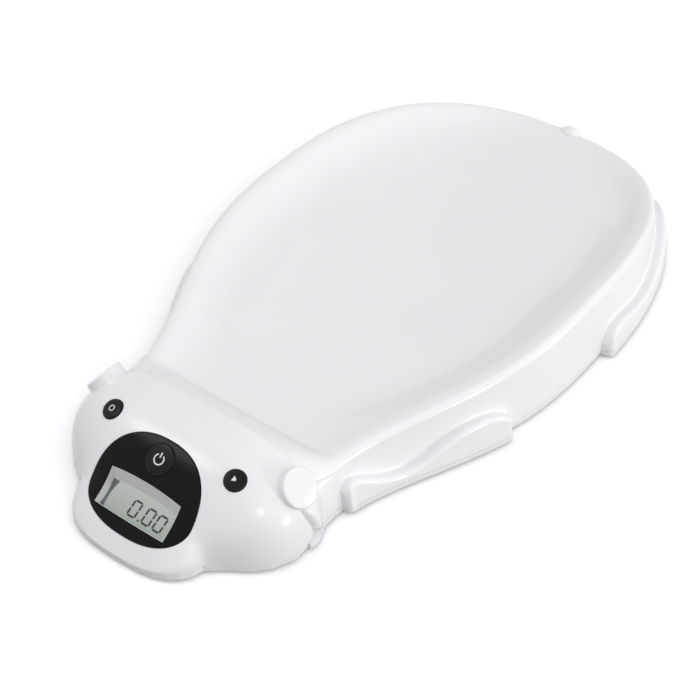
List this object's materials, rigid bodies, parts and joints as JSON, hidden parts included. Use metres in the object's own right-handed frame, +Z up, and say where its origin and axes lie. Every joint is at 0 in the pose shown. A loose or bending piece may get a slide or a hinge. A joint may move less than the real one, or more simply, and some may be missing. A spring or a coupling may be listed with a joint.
{
  "type": "digital baby weighing scale",
  "caption": "Low digital scale with a contoured tray and a rounded animal head that carries a sloping display, a main key and two round side keys, on sprung weighing feet.",
  "frame": {"origin": "middle of the bounding box, on the plane that the feet stand on", "axes": "+Z up, +Y from the head towards the tail, +X to the right hand of someone who stands at the head and looks towards the tail"},
  "size_m": [0.3248, 0.58, 0.0677],
  "materials": {
    "white_shell": "glossy moulded ABS",
    "black_panel": "high gloss",
    "black_key": "gloss",
    "grey_lining": "fine texture",
    "lcd_glass": "reflective display glass",
    "connector": "matte",
    "circuit_board": "solder mask",
    "components": "matte",
    "holder_plastic": "moulded",
    "steel": "plated",
    "cell_jacket": "printed sleeve, bare",
    "cable": "flat ribbon",
    "rubber_pad": "matte"
  },
  "bodies": {
    "housing": {"top_shell": "white_shell", "base_shell": "white_shell", "display_panel": "black_panel", "lcd_frame": "grey_lining", "lcd_glass": "lcd_glass", "lcd_connector": "connector", "main_board": "circuit_board", "board_parts": "components", "board_screws": "steel", "key_boards": "circuit_board", "key_board_screws": "steel", "speaker": "components", "battery_cells": "cell_jacket", "battery_springs": "steel", "battery_contacts": "steel", "load_cell_fl": "steel", "load_cell_fr": "steel", "load_cell_rl": "steel", "load_cell_rr": "steel", "cell_holder_fl": "holder_plastic", "cell_holder_fr": "holder_plastic", "cell_holder_rl": "holder_plastic", "cell_holder_rr": "holder_plastic", "holder_screws": "steel", "case_screws": "steel", "sensor_cables": "cable", "key_cables": "cable"},
    "main_key": {"main_key": "black_key"},
    "left_key": {"left_key": "black_key"},
    "right_key": {"right_key": "black_key"},
    "battery_door": {"battery_door": "white_shell"},
    "foot_fl": {"foot_fl": "holder_plastic", "foot_pad_fl": "rubber_pad"},
    "foot_fr": {"foot_fr": "holder_plastic", "foot_pad_fr": "rubber_pad"},
    "foot_rl": {"foot_rl": "holder_plastic", "foot_pad_rl": "rubber_pad"},
    "foot_rr": {"foot_rr": "holder_plastic", "foot_pad_rr": "rubber_pad"}
  },
  "joints": [
    {"name": "main_key_press", "type": "slide", "parent": "housing", "child": "main_key", "axis": [0, 0.5973, -0.8021], "range_m": [0, 0.001], "stiffness_N_per_m": 400, "springref_m": -0.0008},
    {"name": "left_key_press", "type": "slide", "parent": "housing", "child": "left_key", "axis": [0.1811, 0.4045, -0.8965], "range_m": [0, 0.001], "stiffness_N_per_m": 400, "springref_m": -0.0008},
    {"name": "right_key_press", "type": "slide", "parent": "housing", "child": "right_key", "axis": [-0.1811, 0.4045, -0.8965], "range_m": [0, 0.001], "stiffness_N_per_m": 400, "springref_m": -0.0008},
    {"name": "battery_door_swing", "type": "hinge", "parent": "housing", "child": "battery_door", "pos_m": [0, -0.11935, 0.003], "axis": [-1, 0, 0], "range_deg": [0, 80]},
    {"name": "foot_fl_flex", "type": "slide", "parent": "housing", "child": "foot_fl", "axis": [0, 0, 1], "range_m": [0, 0.0003], "stiffness_N_per_m": 60000, "deforming": ["load_cell_fl"]},
    {"name": "foot_fr_flex", "type": "slide", "parent": "housing", "child": "foot_fr", "axis": [0, 0, 1], "range_m": [0, 0.0003], "stiffness_N_per_m": 60000, "deforming": ["load_cell_fr"]},
    {"name": "foot_rl_flex", "type": "slide", "parent": "housing", "child": "foot_rl", "axis": [0, 0, 1], "range_m": [0, 0.0003], "stiffness_N_per_m": 60000, "deforming": ["load_cell_rl"]},
    {"name": "foot_rr_flex", "type": "slide", "parent": "housing", "child": "foot_rr", "axis": [0, 0, 1], "range_m": [0, 0.0003], "stiffness_N_per_m": 60000, "deforming": ["load_cell_rr"]}
  ]
}
